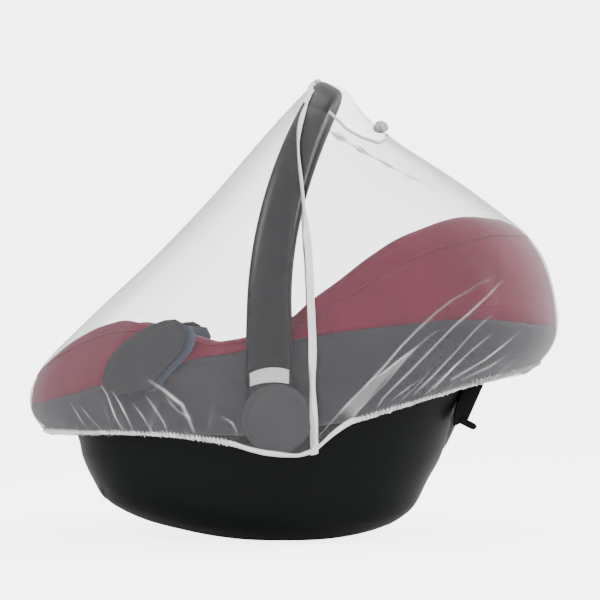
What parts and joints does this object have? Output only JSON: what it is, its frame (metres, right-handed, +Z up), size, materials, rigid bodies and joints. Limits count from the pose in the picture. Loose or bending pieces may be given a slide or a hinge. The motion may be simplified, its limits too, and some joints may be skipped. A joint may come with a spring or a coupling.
{
  "type": "mosquito net on infant carrier",
  "caption": "Sheer white mosquito net with an elastic hem and side seam tape, drawn from the raised handle over the padded seat of an infant carrier.",
  "frame": {"origin": "centre of the bounding box in plan, on the floor under the tub", "axes": "+X from the foot end to the head end, +Y from the near side to the far side, +Z up"},
  "size_m": [0.6823, 0.4586, 0.5939],
  "materials": {
    "net_cloth": "sheer fine white mesh",
    "binding_tape": "white woven tape and elastic",
    "tub_plastic": "fine-grained black",
    "cover_red": "padded dark red twill",
    "cover_grey": "padded dark grey twill",
    "handle_plastic": "satin black",
    "cap_plastic": "matt dark grey",
    "silver_plate": "satin silver",
    "hook_plastic": "matt dark grey",
    "guide_plastic": "matt blue grey"
  },
  "bodies": {
    "root": {"net_foot_panel": "net_cloth", "net_head_panel": "net_cloth", "seam_tape": "binding_tape", "grip_elastic": "binding_tape", "gather_tab_top": "binding_tape", "gather_tab_rear": "binding_tape", "hull": "tub_plastic", "seat_cover": "cover_red", "cover_band": "cover_grey", "handle": "handle_plastic", "pivot_cap_near": "cap_plastic", "pivot_cap_far": "cap_plastic", "silver_plate_near": "silver_plate", "silver_plate_far": "silver_plate", "belt_hook_near": "hook_plastic", "belt_hook_far": "hook_plastic", "belt_guide_near": "guide_plastic", "belt_guide_far": "guide_plastic", "release_lever": "tub_plastic"}
  },
  "joints": []
}
